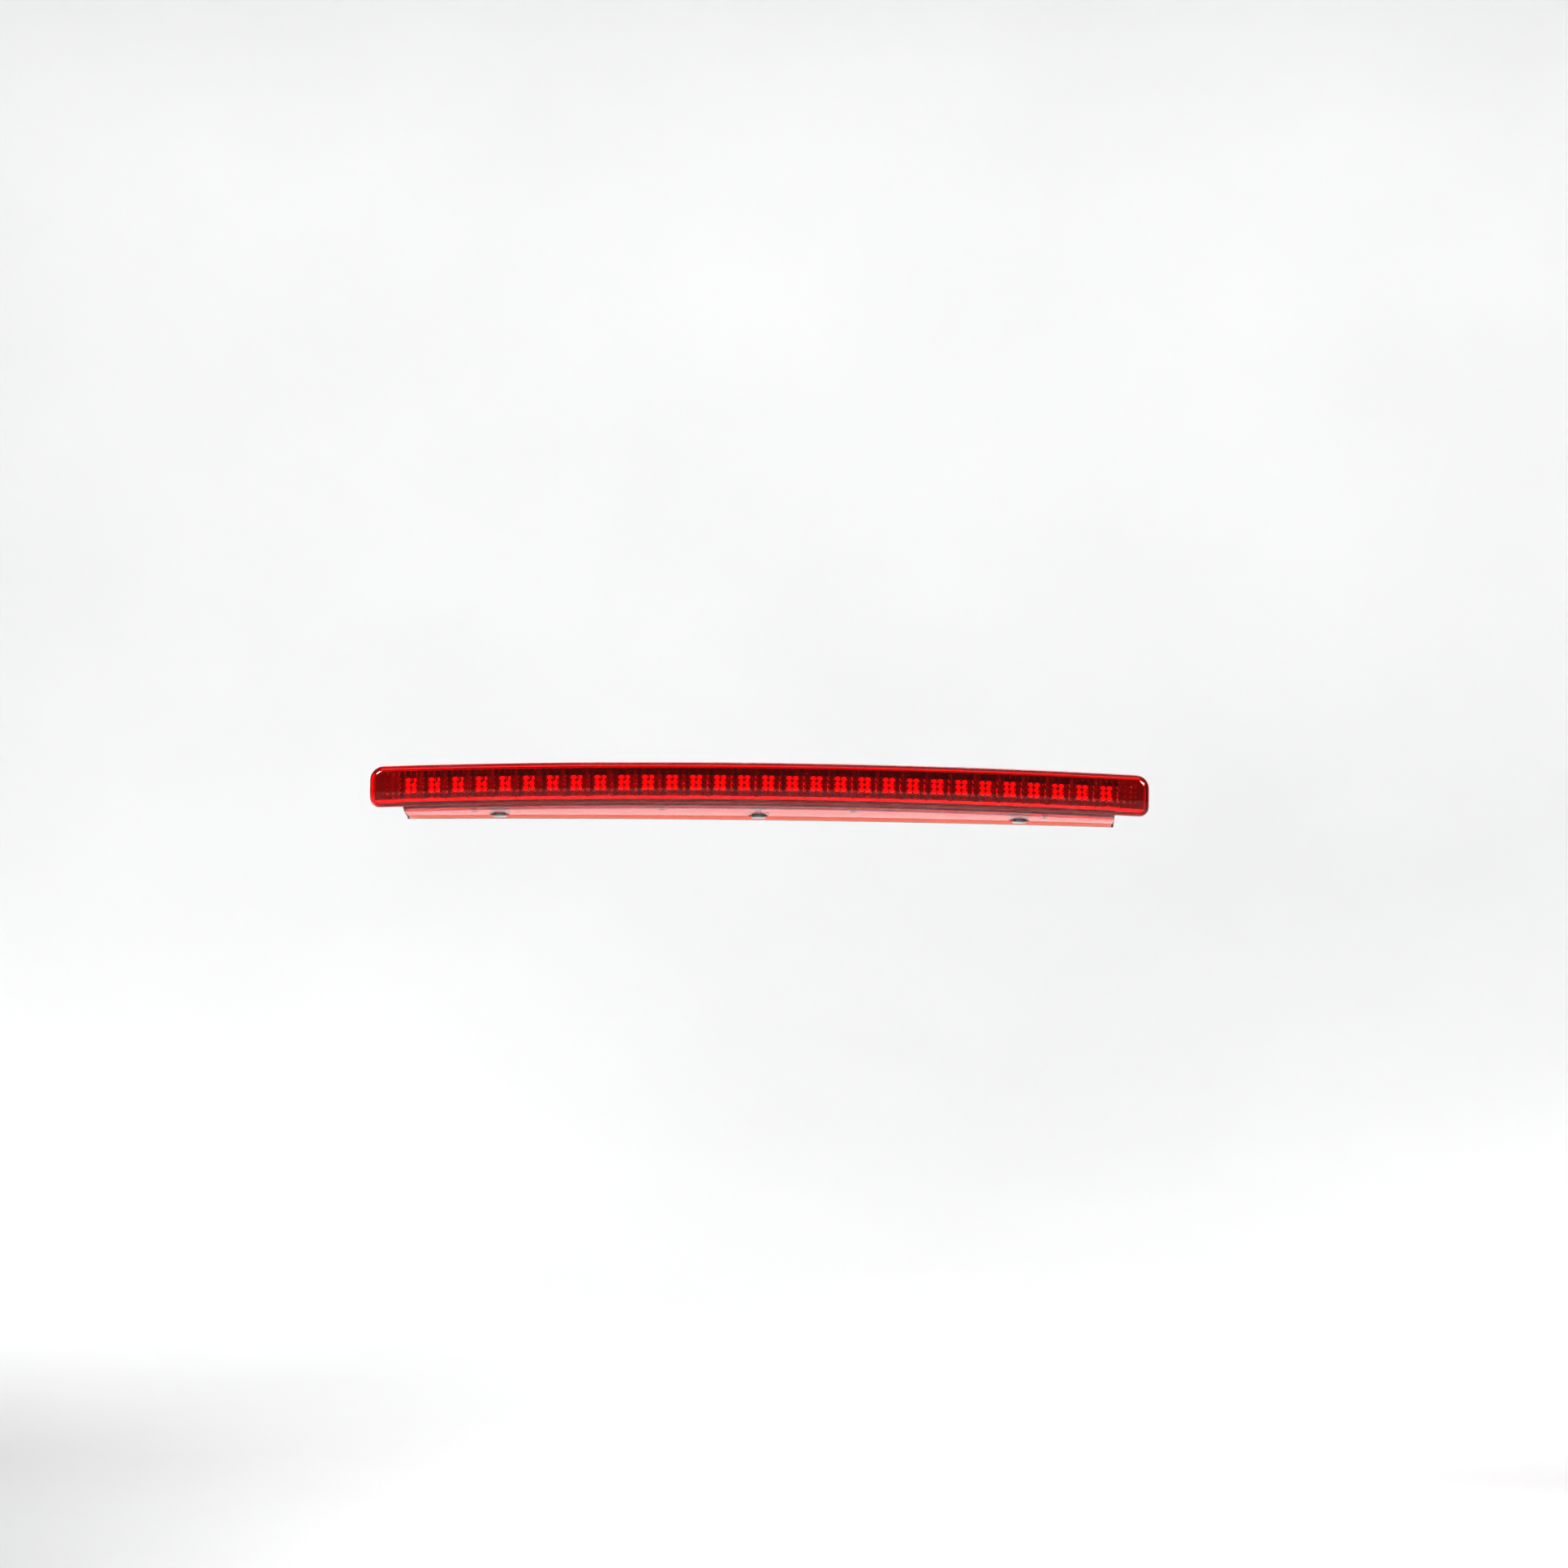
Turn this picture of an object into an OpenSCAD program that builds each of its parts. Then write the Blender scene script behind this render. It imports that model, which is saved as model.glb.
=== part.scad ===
// Third brake light for a rear spoiler: thirty red LEDs on a bowed strip board, behind one acrylic lens.
// The lens has a face and a skirt. The skirt runs forward under the lamp and takes the three screws.
// Every long piece is one cross section swept along the same bow, so the pieces stay parallel.
// In a cross section X is the depth forward of the face and Y is the height above the skirt's edge.

/* [Lamp] */
// Overall width of the lit face
face_w = 414; // [340:1:500]
// Height from the skirt's front edge to the top of the lens
lamp_h = 30.8; // [27:0.1:38]
// Depth from the middle of the face to the skirt's front edge
lamp_d = 38; // [36:0.5:46]
// Radius of the bow that the lamp follows
bow_r = 1650; // [1300:10:2600]
// Lean of the bow's axis, which makes the ends drop as they run forward
bow_lean = 20; // [0:1:30]

/* [Lens] */
// Thickness of the acrylic
lens_wall = 2.5; // [1.8:0.1:3]
// Depth of the lens from its face to its rim
rim_d = 10; // [9:0.1:12]
// Radius of the crown in the upper face
crown_r = 60; // [40:1:200]
// Radius of the rounded top edge
edge_r = 3.2; // [3.1:0.1:4]
// Height at which the face starts to turn under
turn_h = 18; // [16:0.1:20]
// Slope of the underside
skirt_slope = 12; // [8:0.5:14]
// Width of the skirt, which fits between the legs of the spoiler
skirt_w = 378; // [310:1:460]
// Height of the underside of the light chamber
chamber_h = 9; // [8:0.1:11]
// Corner radius at the top of each end
top_corner_r = 7; // [5:0.1:9]
// Corner radius at the bottom of each end
low_corner_r = 5; // [4:0.1:8]
// Corner radius of the skirt in plan
skirt_corner_r = 6; // [2:0.5:10]

/* [Housing] */
// Wall of the tray
tray_wall = 1.8; // [1.4:0.1:2.4]
// Step from the flange's edge to the tray
tray_step = 2; // [1.6:0.1:2.6]
// Thickness of the flange
flange_t = 2.5; // [2:0.1:4]
// Room behind the board for leads and resistors
rear_room = 3.2; // [3:0.1:6]
// Width of the seal bead
bead_w = 1.1; // [0.8:0.1:1.4]
// Depth of the seal bead's groove
bead_t = 0.9; // [0.6:0.1:1.4]

/* [LEDs and board] */
// Distance between neighbouring LEDs
led_pitch = 12.7; // [11:0.1:16]
// Width of an LED body
led_w = 7.6; // [6:0.1:8]
// Height of an LED body above its feet
led_t = 3; // [2.6:0.1:3.4]
// Diameter of the dome on an LED
led_dome_d = 4.6; // [3:0.1:5]
// Distance between an LED's legs
leg_pitch = 5.08; // [4:0.02:5.2]
// Thickness of the circuit board
board_t = 1.6; // [1:0.1:2]
// Depth of the board's front behind the face
board_d = 10.5; // [10.2:0.1:12.5]
// Thickness of the reflector's walls
cell_wall = 1.2; // [0.8:0.1:1.6]

/* [Mounting] */
// Distance between the two outer mounting screws
screw_span = 278; // [200:1:290]
// Distance of the screws from the skirt's front edge
screw_edge = 9.6; // [8:0.1:11]
// Thread diameter of a mounting screw
screw_d = 4.2; // [3.5:0.1:5]
// Length of thread above the seat
screw_reach = 11; // [8:0.5:16]
// Height of the three seats above the skirt's edge
seat_h = 7; // [6.5:0.1:9]
// Diameter of the recess for a screw head
recess_d = 10.4; // [9.8:0.1:12]

/* [Inlet] */
// Inside width of the socket
socket_w = 15; // [14:0.5:18]
// Inside height of the socket
socket_h = 8; // [7:0.1:9]
// Inside depth of the socket
socket_d = 11; // [9:0.5:14]
// Wall of the socket
socket_wall = 1.5; // [1.2:0.1:2]

/* [Hidden] */
$fn = 48;

// Clearances
seat = 0.02;
fit = 0.1;
slack = 0.3;
thread_fit = 0.05;
over = 1;
bond = 0.2;
corner_lift = 0.12;

// Cross section of the lens
under_r = (turn_h * cos(skirt_slope) - lamp_d * sin(skirt_slope)) / (1 - sin(skirt_slope));
edge_mid = [crown_r - sqrt(pow(crown_r - edge_r, 2) - pow(lamp_h - edge_r - turn_h, 2)), lamp_h - edge_r];
crown_turn = asin((lamp_h - edge_r - turn_h) / (crown_r - edge_r));
mid_h = (chamber_h + lamp_h) / 2;
floor_top = chamber_h + lens_wall;

// Bow: how far forward and down a point at x lies
function bow(x) = bow_r - sqrt(bow_r * bow_r - x * x);
function bow_d(x) = bow(x) * cos(bow_lean);
function bow_drop(x) = bow(x) * sin(bow_lean);
function underside(d) = (lamp_d - d) * tan(skirt_slope);
half_w = face_w / 2;

// Seal bead, centred on the lens's rim
bead_in = (lens_wall - bead_w) / 2;
bead_out = bead_in + bead_w;

// Housing
tray_in = tray_step + tray_wall;
board_back = board_d + board_t;
back_in = board_back + rear_room;
back_out = back_in + tray_wall;
tray_low = chamber_h + tray_step;

// Board and LEDs
end_cell = 14;
half_leds = floor((half_w - end_cell) / led_pitch);
led_at = [for (i = [-half_leds:half_leds - 1]) (i + 0.5) * led_pitch];
board_h = lamp_h - chamber_h - 2 * tray_in - 2 * slack;
board_half = half_leds * led_pitch + 5.5;
leg_w = 0.5;
leg_t = 0.4;
leg_hole_d = 1;
leg_past = 1.2;
foot_h = 0.7;
led_back = board_d - foot_h;
led_front = led_back - led_t;
dome_h = 1.5;
dome_step = 0.5;
dome_taper = 0.6;
frame_w = 6.4;
frame_t = 0.5;
chip_w = 0.6;
chip_t = 0.3;
cone_d = 1.9;
cone_h = 0.9;

// Reflector
plate_t = 1;
plate_back = board_d - 1.5;
cell_front = 4.4;
peg_d = 1.8;
peg_head_d = 3;
peg_head_t = 0.7;
shoulder_d = 3.2;
peg_low = 4.6;
cell_back = plate_back - plate_t;
cell_h = lamp_h - chamber_h - 2 * (lens_wall + slack) - 2 * cell_wall;
window = led_w + 2 * slack;
peg_at = [for (k = [2, 8, 14]) round(half_leds * k / 15) * led_pitch];

// Board screws
fix_at = [for (k = [4, 12]) round(half_leds * k / 15) * led_pitch];
fix_d = 2.2;
fix_head_d = 3.8;
fix_head_t = 1.2;
fix_len = 5.5;
boss_d = 5;
slot_l = 2;
slot_w = 0.5;
slot_d = 0.6;

// Resistors and diode
string_leds = 3;
lead_d = 0.6;
lead_hole_d = 0.9;
lead_past = 0.7;
resistor_d = 2.3;
resistor_l = 6.3;
resistor_span = 10.16;
resistor_up = 5;
resistor_at = [for (i = [1:string_leds:2 * half_leds - 1]) led_at[i]];
diode_d = 2.7;
diode_l = 5.2;
part_gap = 0.15;
resistor_d_at = board_back + part_gap + resistor_d / 2;
diode_d_at = board_back + part_gap + diode_d / 2;

// Mounting
screw_y = lamp_d - screw_edge;
screw_at = [-screw_span / 2, 0, screw_span / 2];
neck_d = screw_d - 0.8;
thread_above = 0.3;
head_d = 8;
head_t = 2.4;
socket_af = 4;
socket_cut = 1.4;
washer_d = 9.4;
washer_t = 0.7;
sleeve_d = screw_d + 2.2;
sleeve_bore = screw_d + 0.3;
pad_d = sleeve_d + 5;
tip_l = 2;
tip_d = 1;
recess_up = 2.1;
function recess_h(x) = underside(screw_y - bow_d(x)) - bow_drop(x) + recess_up;

// Posts, clips, gasket and vent
post_d = 3.6;
post_depth = rim_d + flange_t + post_d / 2 + slack;
clip_at = round(half_leds * 6 / 15) * led_pitch;
clip_w = 12;
clip_t = 0.8;
clip_low = mid_h - 5;
clip_foot = 2;
clip_rise = 10.5;
clip_reach = 4.6;
clip_stud_d = 3;
clip_head_d = 4.6;
clip_head_t = 1;
gasket_t = 3;
vent_at = -round(half_leds * 2 / 15) * led_pitch;
vent_bore = 3;
vent_tube_d = 6;
vent_tube_l = 3;
cap_wall = 1;
membrane_t = 0.4;
inlet_at = round(half_leds * 2 / 15) * led_pitch;
diode_at = inlet_at + 3 * led_pitch;
terminal_gap = 8;
terminal_h = 2.8;
terminal_t = 0.8;
terminal_tail = 1;
terminal_set = 3;
plug_in = tray_wall - 0.4;
seal_t = 1;
socket_out_w = socket_w + 2 * socket_wall;
socket_out_h = socket_h + 2 * socket_wall;
latch = [4, 4, 1.2];

// Points of an arc
function arc(mid, r, a0, a1, n) = [
    for (i = [0:n])
        let (a = a0 + (a1 - a0) * i / n)
        mid + r * [cos(a), sin(a)]
];

// The lens's outer surface moved inward by g: from the rim, over the top edge and down the face to the
// skirt's edge
function skin(g) = concat(
    [[rim_d, lamp_h - g]],
    arc(edge_mid, max(edge_r - g, 0.05), 90, 180 - crown_turn, 8),
    arc([crown_r, turn_h], crown_r - g, 180 - crown_turn, 180, 6),
    arc([under_r, turn_h], under_r - g, 180, 270 - skirt_slope, 12),
    [[lamp_d, g / cos(skirt_slope)]]
);

function reversed(list) = [for (i = [len(list) - 1:-1:0]) list[i]];

// Moves the lamp so that the middle screw's axis meets its seat at the origin
module placed() {
    translate([0, -screw_y, -seat_h]) children();
}

// Carries a piece along the bow to arc length s, at depth d and height h
module station(s, d, h) {
    rotate([-bow_lean, 0, 0])
        translate([0, bow_r, 0])
            rotate([0, 0, s / (bow_r - board_d) * 180 / PI])
                translate([0, -bow_r, 0])
                    rotate([bow_lean, 0, 0])
                        translate([0, d, h])
                            children();
}

// The same piece at each listed arc length, to the left and to the right
module both_sides(list, d, h) {
    for (s = list, side = [-1, 1])
        station(side * s, d, h) children();
}

// The same piece at every LED
module at_leds(d) {
    for (s = led_at)
        station(s, d, mid_h) children();
}

// The same piece at every leg of every LED
module at_legs(d) {
    at_leds(d)
        for (x = [-1, 1], z = [-1, 1])
            translate([x, 0, z] * leg_pitch / 2) children();
}

// The same piece at both legs of a wired part
module at_pair(gap, up) {
    for (x = [-1, 1])
        translate([x * gap / 2, 0, up]) children();
}

// Turns a piece drawn along +Z to point forward
module forward() {
    rotate([-90, 0, 0]) children();
}

// Turns a piece drawn along +Z to point rearward, at the road
module rearward() {
    rotate([90, 0, 0]) children();
}

// Sweeps a cross section along the bow, half_l to each side
module sweep(half_l) {
    span = 2 * asin(half_l / bow_r);
    rotate([-bow_lean, 0, 0])
        translate([0, bow_r, 0])
            rotate([0, 0, -90 - span / 2])
                rotate_extrude(angle = span, $fn = 360)
                    translate([bow_r, 0])
                        mirror([1, 0])
                            rotate(bow_lean)
                                children();
}

// A swept strip between two depths and two heights
module strip(half_l, d0, d1, h0, h1) {
    sweep(half_l)
        translate([d0, h0]) square([d1 - d0, h1 - h0]);
}

// The lamp's outline from behind, moved inward by g, run forward through the whole lamp
module outline(g) {
    corner_x = half_w - top_corner_r;
    low_x = half_w - low_corner_r;
    high = lamp_h - bow_drop(corner_x) - top_corner_r + corner_lift;
    low = chamber_h - bow_drop(low_x) + low_corner_r - corner_lift;
    translate([0, -over, 0])
        forward() mirror([0, 1, 0])
            linear_extrude(height = 2 * lamp_d) {
                translate([-corner_x, -2 * lamp_h]) square([2 * corner_x, 4 * lamp_h]);
                translate([g - half_w, low]) square([2 * (half_w - g), high - low]);
                translate([-low_x, low - low_corner_r + g]) square([2 * low_x, high - low]);
                for (side = [-1, 1]) {
                    translate([side * corner_x, high]) circle(r = top_corner_r - g);
                    translate([side * low_x, low]) circle(r = low_corner_r - g);
                }
            }
}

// A filled block inside the lamp's outline
module block(g, d0, d1) {
    intersection() {
        strip(half_w + over, d0, d1, chamber_h + g, lamp_h - g);
        outline(g);
    }
}

// A ring that follows the lamp's outline, between two insets and two depths
module ring(g0, g1, d0, d1) {
    difference() {
        block(g0, d0, d1);
        block(g1, d0 - over, d1 + over);
    }
}

// The skirt's shape in plan, with rounded front corners
module skirt_plan() {
    side = skirt_w / 2 - skirt_corner_r;
    translate([0, 0, -2 * lamp_h]) linear_extrude(height = 4 * lamp_h) {
        translate([-side, -over]) square([2 * side, lamp_d + over]);
        translate([-skirt_w / 2, -over]) square([skirt_w, lamp_d + over - skirt_corner_r]);
        for (x = [-side, side])
            translate([x, lamp_d - skirt_corner_r]) circle(r = skirt_corner_r);
    }
}

// The band of the lens that runs down under the chamber and forward along the skirt
module skirt_band() {
    sweep(skirt_w / 2 + over) intersection() {
        polygon(concat(skin(0), reversed(skin(lens_wall))));
        square([lamp_d, floor_top - lens_wall / 2]);
    }
}

// Everything under the skirt's outer surface
module below_skirt() {
    sweep(skirt_w / 2 + over) polygon(concat(
        [for (p = skin(0)) if (p[1] < turn_h) p],
        [[lamp_d, -lamp_h], [-over, -lamp_h]]
    ));
}

// The light chamber of the lens: a shell that is open to the front
module lens_chamber() {
    difference() {
        intersection() {
            sweep(half_w + over) intersection() {
                polygon(concat(skin(0), [[rim_d, 0]]));
                translate([0, chamber_h]) square([rim_d, lamp_h]);
            }
            outline(0);
        }
        intersection() {
            sweep(half_w + over) intersection() {
                polygon(concat([[lamp_d, lamp_h - lens_wall]], skin(lens_wall)));
                translate([0, floor_top]) square([rim_d + over, lamp_h]);
            }
            outline(lens_wall);
        }
    }
}

// The skirt of the lens, with a pad, a sleeve hole and a head recess at each mounting screw
module lens_skirt() {
    difference() {
        union() {
            intersection() {
                skirt_band();
                skirt_plan();
            }
            for (x = screw_at) {
                low = recess_h(x) - recess_up;
                translate([x, screw_y, low]) cylinder(d = pad_d, h = seat_h - low);
            }
        }
        for (x = screw_at) {
            translate([x, screw_y, -lamp_h]) cylinder(d = recess_d, h = lamp_h + recess_h(x));
            translate([x, screw_y, 0]) cylinder(d = sleeve_d + thread_fit, h = lamp_h);
        }
        below_skirt();
    }
}

module lens() {
    color("crimson", 0.7) placed() {
        lens_chamber();
        lens_skirt();
    }
}

module lens_seal() {
    color("dimgray") placed()
        ring(bead_in, bead_out, rim_d, rim_d + bead_t);
}

// A stud on the housing's back, spread over the spring clip like a rivet
module clip_stud() {
    stud_l = back_out - back_in - over + clip_t + 2 * seat;
    forward() {
        cylinder(d = clip_stud_d, h = stud_l);
        translate([0, 0, stud_l]) cylinder(d = clip_head_d, h = clip_head_t);
    }
}

module housing() {
    vent_l = back_out - back_in - over + vent_tube_l;
    hole_l = fix_len - board_t + slack;
    color([0.1, 0.1, 0.11]) placed() difference() {
        union() {
            difference() {
                union() {
                    block(0, rim_d, rim_d + flange_t);
                    block(tray_step, rim_d, back_out);
                }
                block(tray_in, rim_d - over, back_in);
                ring(bead_in, bead_out, rim_d - over, rim_d + bead_t);
            }
            both_sides(fix_at, board_back + seat, mid_h)
                forward() cylinder(d = boss_d, h = rear_room + over);
            both_sides([clip_at], back_in + over, mid_h) clip_stud();
            station(vent_at, back_in + over, mid_h)
                forward() cylinder(d = vent_tube_d, h = vent_l);
        }
        both_sides(fix_at, board_back, mid_h)
            forward() cylinder(d = fix_d + 2 * thread_fit, h = hole_l);
        station(vent_at, back_in - over, mid_h)
            forward() cylinder(d = vent_bore, h = vent_l + 3 * over);
        station(inlet_at, (back_in + back_out) / 2, mid_h)
            cube([socket_w, tray_wall + over, socket_h], center = true);
    }
}

// A shouldered peg that passes through the board and is staked over behind it
module peg() {
    shoulder = board_d - plate_back + plate_t / 2 - seat;
    stake = board_back - plate_back + plate_t / 2 + seat;
    forward() rotate_extrude() polygon([
        [0, 0],
        [shoulder_d / 2, 0],
        [shoulder_d / 2, shoulder],
        [peg_d / 2, shoulder],
        [peg_d / 2, stake],
        [peg_head_d / 2, stake],
        [peg_head_d / 3, stake + peg_head_t],
        [0, stake + peg_head_t]
    ]);
}

module reflector() {
    cell_mid = (cell_front + cell_back + bond) / 2;
    color([0.13, 0.1, 0.1]) placed() difference() {
        union() {
            difference() {
                intersection() {
                    block(lens_wall + slack, cell_front, plate_back);
                    sweep(half_w) polygon(skin(lens_wall + slack));
                }
                strip(half_leds * led_pitch, 0, cell_back, mid_h - cell_h / 2, mid_h + cell_h / 2);
            }
            for (k = [1 - half_leds:half_leds - 1])
                station(k * led_pitch, cell_mid, mid_h)
                    cube([cell_wall, cell_back - cell_front + bond, cell_h + 2 * bond], center = true);
            both_sides(peg_at, cell_back + plate_t / 2, mid_h - peg_low) peg();
        }
        at_leds(cell_back) cube([window, 4 * plate_t, window], center = true);
    }
}

// A hole right through the board
module through(d) {
    translate([0, board_d - over, 0]) forward() cylinder(d = d, h = board_t + 2 * over);
}

module circuit_board() {
    color("darkgreen") placed() difference() {
        strip(board_half, board_d, board_back, mid_h - board_h / 2, mid_h + board_h / 2);
        at_legs(0) through(leg_hole_d);
        for (s = resistor_at)
            station(s, 0, mid_h) at_pair(resistor_span, resistor_up) through(lead_hole_d);
        station(diode_at, 0, mid_h) at_pair(resistor_span, -resistor_up) through(lead_hole_d);
        station(inlet_at, 0, mid_h) at_pair(terminal_gap, 0) through(terminal_tail + 2 * slack);
        both_sides(peg_at, 0, mid_h - peg_low) through(peg_d + 2 * fit);
        both_sides(fix_at, 0, mid_h) through(fix_d + 2 * fit);
    }
}

// The dome in front of an LED's body
module dome() {
    rim = led_dome_d - dome_taper;
    cylinder(d1 = led_dome_d, d2 = rim, h = dome_h - dome_step);
    translate([0, 0, dome_h - dome_step]) cylinder(d1 = rim, d2 = rim / 2, h = dome_step);
}

// A block that stands on the LED's foot plane and rises to the front, t thick
module slab(w, t, low) {
    translate([-w / 2, led_back - low - t, -w / 2]) cube([w, t, w]);
}

module led_bodies() {
    color("orangered") placed() at_leds(0) difference() {
        union() {
            slab(led_w, led_t, 0);
            translate([0, led_front, 0]) rearward() dome();
        }
        slab(frame_w, frame_t + over, -over);
        slab(chip_w, chip_t + over, frame_t - over);
    }
}

module led_frames() {
    leg_l = frame_t / 2 + foot_h + board_t + leg_past;
    color("silver") placed() {
        at_leds(0) slab(frame_w, frame_t, 0);
        at_legs(led_back - frame_t / 2)
            translate([-leg_w / 2, 0, -leg_t / 2]) cube([leg_w, leg_l, leg_t]);
    }
}

module led_chips() {
    color("gold") placed() at_leds(0) slab(chip_w, chip_t, frame_t);
}

module solder_joints() {
    color("gainsboro") placed() at_legs(board_back + seat) difference() {
        forward() cylinder(d1 = cone_d, d2 = cone_d / 2, h = cone_h);
        cube([leg_w, 4 * cone_h, leg_t], center = true);
    }
}

// The body of a wired part, bored for its wire
module wired_body(d, l) {
    rotate([0, 90, 0]) difference() {
        cylinder(d = d, h = l, center = true);
        cylinder(d = lead_d, h = l + over, center = true);
    }
}

// A wire through a part's body, bent down at both ends through the board
module lead(body_d) {
    rise = part_gap + body_d / 2;
    rotate([0, 90, 0]) cylinder(d = lead_d, h = resistor_span, center = true);
    at_pair(resistor_span, 0)
        translate([0, lead_d / 2, 0])
            rearward() cylinder(d = lead_d, h = rise + board_t + lead_past + lead_d / 2);
}

module resistors() {
    color("tan") placed()
        for (s = resistor_at)
            station(s, resistor_d_at, mid_h + resistor_up) wired_body(resistor_d, resistor_l);
}

module resistor_leads() {
    color("silver") placed()
        for (s = resistor_at)
            station(s, resistor_d_at, mid_h + resistor_up) lead(resistor_d);
}

module diode() {
    color("black") placed()
        station(diode_at, diode_d_at, mid_h - resistor_up) wired_body(diode_d, diode_l);
}

module diode_leads() {
    color("silver") placed()
        station(diode_at, diode_d_at, mid_h - resistor_up) lead(diode_d);
}

module board_screws() {
    color("silver") placed() both_sides(fix_at, board_d - seat, mid_h) {
        difference() {
            rearward() cylinder(d1 = fix_head_d, d2 = fix_head_d * 0.8, h = fix_head_t);
            for (a = [0, 90])
                translate([0, -fix_head_t, 0])
                    rotate([0, a, 0]) cube([slot_l, 2 * slot_d, slot_w], center = true);
        }
        forward() cylinder(d = fix_d, h = fix_len);
    }
}

module inlet_socket() {
    plug_w = socket_w - 2 * fit;
    plug_h = socket_h - 2 * fit;
    plug_l = plug_in + seal_t + socket_wall;
    color([0.2, 0.2, 0.22]) placed() station(inlet_at, back_out + seal_t, mid_h) difference() {
        union() {
            translate([-socket_out_w / 2, 0, -socket_out_h / 2])
                cube([socket_out_w, socket_d + socket_wall, socket_out_h]);
            translate([-plug_w / 2, -seal_t - plug_in, -plug_h / 2]) cube([plug_w, plug_l, plug_h]);
            translate([-latch[0] / 2, socket_d / 3, socket_out_h / 2]) cube(latch);
        }
        translate([-socket_w / 2, socket_wall, -socket_h / 2])
            cube([socket_w, socket_d + over, socket_h]);
        at_pair(terminal_gap, 0) cube([terminal_t, 4 * rim_d, terminal_h], center = true);
    }
}

module inlet_terminals() {
    blade_from = back_out - plug_in;
    blade_l = plug_in + seal_t + socket_wall + socket_d - terminal_set;
    tail_from = board_d - lead_past;
    tail_l = blade_from - tail_from + terminal_tail / 2;
    color("gold") placed() station(inlet_at, 0, mid_h) at_pair(terminal_gap, 0)
        translate([-terminal_t / 2, 0, 0]) {
            translate([0, blade_from, -terminal_h / 2]) cube([terminal_t, blade_l, terminal_h]);
            translate([0, tail_from, -terminal_tail / 2]) cube([terminal_t, tail_l, terminal_tail]);
        }
}

module inlet_seal() {
    color("darkorange") placed() station(inlet_at, back_out + 2 * seat, mid_h) difference() {
        translate([-socket_out_w / 2, 0, -socket_out_h / 2])
            cube([socket_out_w, seal_t - 3 * seat, socket_out_h]);
        translate([-socket_w / 2, -over, -socket_h / 2])
            cube([socket_w, seal_t + 2 * over, socket_h]);
    }
}

module mounting_screws() {
    color("silver") placed() for (x = screw_at) {
        under = recess_h(x) - washer_t;
        neck = seat_h - under + thread_above;
        translate([x, screw_y, under]) difference() {
            rotate_extrude() polygon([
                [0, -head_t],
                [head_d * 0.3, -head_t],
                [head_d / 2, -head_t * 0.6],
                [head_d / 2, 0],
                [neck_d / 2, 0],
                [neck_d / 2, neck],
                [screw_d / 2, neck],
                [screw_d / 2, neck + screw_reach],
                [tip_d / 2, neck + screw_reach + tip_l],
                [0, neck + screw_reach + tip_l]
            ]);
            translate([0, 0, -head_t - over])
                cylinder(d = socket_af / cos(30), h = socket_cut + over, $fn = 6);
        }
    }
}

module mounting_washers() {
    color("gainsboro") placed() for (x = screw_at)
        translate([x, screw_y, recess_h(x) - washer_t]) difference() {
            cylinder(d = washer_d, h = washer_t);
            translate([0, 0, -over]) cylinder(d = screw_d + 2 * fit, h = washer_t + 2 * over);
        }
}

module screw_sleeves() {
    color("goldenrod") placed() for (x = screw_at)
        translate([x, screw_y, recess_h(x)]) difference() {
            cylinder(d = sleeve_d, h = seat_h - recess_h(x));
            translate([0, 0, -over]) cylinder(d = sleeve_bore, h = seat_h);
        }
}

module support_posts() {
    color("darkgray") placed() difference() {
        both_sides(fix_at, post_depth, 0) cylinder(d = post_d, h = tray_low - seat);
        sweep(half_w) polygon(concat(skin(lens_wall), [[lamp_d, -over], [-over, -over]]));
    }
}

module foam_gasket() {
    flange_back = rim_d + flange_t;
    color([0.25, 0.25, 0.27]) placed() difference() {
        ring(slack, tray_step - seat, flange_back + seat, flange_back + gasket_t);
        strip(2 * half_w, 0, lamp_d, -lamp_h, tray_low + tray_step);
    }
}

module spring_clips() {
    color("slategray") placed() both_sides([clip_at], back_out + seat, clip_low) difference() {
        translate([-clip_w / 2, 0, 0]) rotate([90, 0, 90]) linear_extrude(height = clip_w) polygon([
            [0, -clip_foot],
            [clip_t, -clip_foot],
            [clip_t, clip_rise],
            [clip_reach, clip_rise + clip_reach / 2],
            [clip_t, clip_rise + clip_reach],
            [0, clip_rise + clip_reach - clip_t / 2],
            [clip_reach - 2 * clip_t, clip_rise + clip_reach / 2],
            [0, clip_rise + clip_t / 2]
        ]);
        translate([0, -over, mid_h - clip_low])
            forward() cylinder(d = clip_stud_d + 2 * fit, h = clip_t + 2 * over);
    }
}

module vent_cap() {
    bore = vent_tube_d + 2 * thread_fit;
    inner_l = vent_tube_l + membrane_t;
    color([0.3, 0.3, 0.3]) placed() station(vent_at, back_out + slack, mid_h)
        forward() difference() {
            cylinder(d = bore + 2 * cap_wall, h = inner_l + cap_wall);
            translate([0, 0, -over]) cylinder(d = bore, h = inner_l + over);
            for (a = [0:60:300])
                rotate(a) translate([bore / 2, 0, -over]) cylinder(d = 1, h = vent_tube_l + over);
        }
}

module vent_membrane() {
    color("white") placed() station(vent_at, back_out + vent_tube_l + seat, mid_h)
        forward() cylinder(d = vent_tube_d - fit, h = membrane_t);
}

lens();
lens_seal();
housing();
reflector();
circuit_board();
led_bodies();
led_frames();
led_chips();
solder_joints();
resistors();
resistor_leads();
diode();
diode_leads();
board_screws();
inlet_socket();
inlet_terminals();
inlet_seal();
mounting_screws();
mounting_washers();
screw_sleeves();
support_posts();
foam_gasket();
spring_clips();
vent_cap();
vent_membrane();
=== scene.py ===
"""Third brake light for a rear spoiler. Lengths are in millimetres, and become metres where a mesh is turned
into an object. The lamps and the camera are placed in metres."""
import math
import bmesh
import bpy
import numpy as np
from mathutils import Matrix, Vector


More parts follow.
